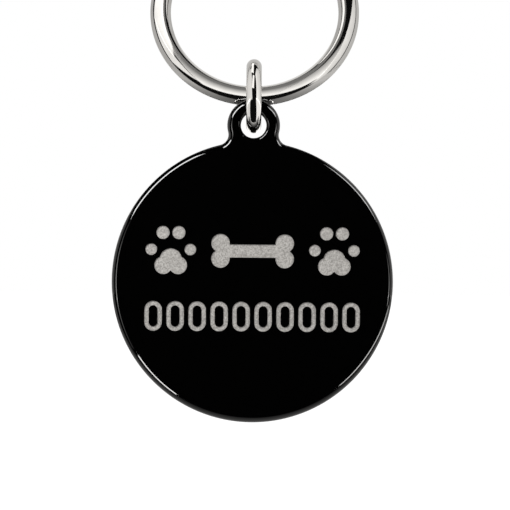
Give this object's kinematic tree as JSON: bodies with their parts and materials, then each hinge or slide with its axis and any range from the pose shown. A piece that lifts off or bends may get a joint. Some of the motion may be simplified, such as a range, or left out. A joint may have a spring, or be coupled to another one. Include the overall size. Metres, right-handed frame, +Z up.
{
  "type": "pet id tag",
  "caption": "Round black coated metal pet tag with engraved figures and an ear, hanging by a round-wire jump ring from a wire split ring for a collar.",
  "frame": {"origin": "centre of the split ring's opening, midway between its two coils", "axes": "+Z up, as the tag hangs; +Y back, so the engraved face looks along -Y; +X to the right of someone facing the engraving. The split ring's top leans 25 degrees towards +Y."},
  "size_m": [0.032, 0.0154, 0.0579],
  "materials": {
    "black_coat": "glossy black coat",
    "engraved_metal": "matt bare metal in the engraving",
    "ring_chrome": "polished"
  },
  "bodies": {
    "split_ring": {"split_ring": "ring_chrome"},
    "jump_ring": {"jump_ring": "ring_chrome"},
    "tag_plate": {"tag_plate": "black_coat"}
  },
  "joints": [
    {"name": "jump_ring_swing", "type": "hinge", "parent": "split_ring", "child": "jump_ring", "pos_m": [0, -0.00457, -0.00981], "axis": [1, 0, 0], "range_deg": [-100, 145]},
    {"name": "tag_swing", "type": "hinge", "parent": "jump_ring", "child": "tag_plate", "pos_m": [0, -0.00642, -0.01316], "axis": [0, 1, 0], "range_deg": [-45, 45]}
  ]
}
